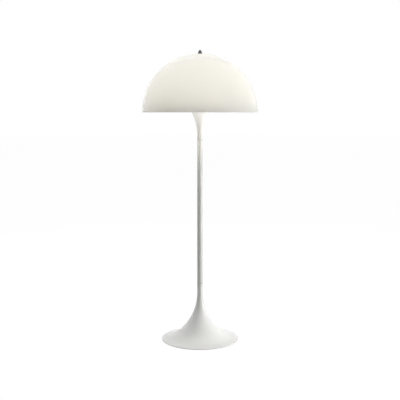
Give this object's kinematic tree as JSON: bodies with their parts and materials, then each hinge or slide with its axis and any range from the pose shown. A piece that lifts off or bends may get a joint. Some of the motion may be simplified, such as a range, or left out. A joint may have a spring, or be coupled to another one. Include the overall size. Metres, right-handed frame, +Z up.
{
  "type": "mushroom floor lamp",
  "caption": "Floor lamp with a weighted trumpet foot, a slim stem that flares into a reflector bowl, and an opal dome held over the bulb by a bent carrier under a turned finial.",
  "frame": {"origin": "on the floor under the stem's axis, the middle of the lamp's box seen from above", "axes": "+Z up along the stem; +Y to the back, where the cord inlet is; the picture looks along +Y"},
  "size_m": [0.4999, 0.5, 1.2727],
  "materials": {
    "white_lacquer": "gloss white wet lacquer",
    "opal_acrylic": "gloss opal acrylic, lets light through",
    "cast_iron": "bare sand casting",
    "zinc_steel": "bright zinc plate",
    "black_rubber": "moulded, matt",
    "felt": "pressed felt",
    "terminal_plastic": "moulded, satin",
    "lead_jacket": "smooth jacket",
    "bright_wire": "bright nickel plate",
    "polished_metal": "mirror polished",
    "holder_plastic": "white moulded, satin",
    "porcelain": "glazed porcelain",
    "brass": "drawn, bright",
    "bulb_metal": "drawn, satin",
    "black_glass": "black glass",
    "opal_glass": "white opal coating"
  },
  "bodies": {
    "stand": {"foot_shell": "white_lacquer", "lower_spigot": "white_lacquer", "stem_tube": "white_lacquer", "upper_spigot": "white_lacquer", "reflector": "white_lacquer", "base_weight": "cast_iron", "base_plate": "zinc_steel", "base_screws": "zinc_steel", "tie_tube": "zinc_steel", "tie_nut": "zinc_steel", "tie_washer": "zinc_steel", "set_screw": "zinc_steel", "clamping_cone": "zinc_steel", "lamp_pipe": "zinc_steel", "pipe_washer": "zinc_steel", "pipe_nut": "zinc_steel", "spacer_sleeve": "zinc_steel", "shade_stud": "zinc_steel", "terminal_screws": "zinc_steel", "cord_grommet": "black_rubber", "shade_cushion": "black_rubber", "floor_pad": "felt", "terminal_block": "terminal_plastic", "inner_lead": "lead_jacket", "shade_carrier": "bright_wire", "holder_cap": "holder_plastic", "holder_skirt": "holder_plastic", "holder_core": "porcelain", "screw_shell": "brass", "centre_contact": "brass"},
    "shade": {"shade": "opal_acrylic"},
    "finial_washer": {"finial_washer": "polished_metal"},
    "finial": {"finial": "polished_metal"},
    "bulb": {"bulb_tip": "brass", "bulb_insulator": "black_glass", "bulb_cap": "bulb_metal", "bulb_glass": "opal_glass"}
  },
  "joints": [
    {"name": "finial_rise", "type": "slide", "parent": "stand", "child": "finial_washer", "axis": [0, 0, 1], "range_m": [0, 0.0081]},
    {"name": "finial_turn", "type": "hinge", "parent": "finial_washer", "child": "finial", "pos_m": [0, 0, 1.264], "axis": [0, 0, 1], "range_deg": [0, 2880]},
    {"name": "shade_turn", "type": "hinge", "parent": "stand", "child": "shade", "pos_m": [0, 0, 1.25], "axis": [0, 0, 1], "continuous": true},
    {"name": "bulb_turn", "type": "hinge", "parent": "stand", "child": "bulb", "pos_m": [0, 0, 1.03], "axis": [0, 0, 1], "range_deg": [0, 1260]}
  ],
  "couplings": [
    {"joint": "finial_rise", "follows": "finial_turn", "m_per_rad": 0.00015915}
  ]
}
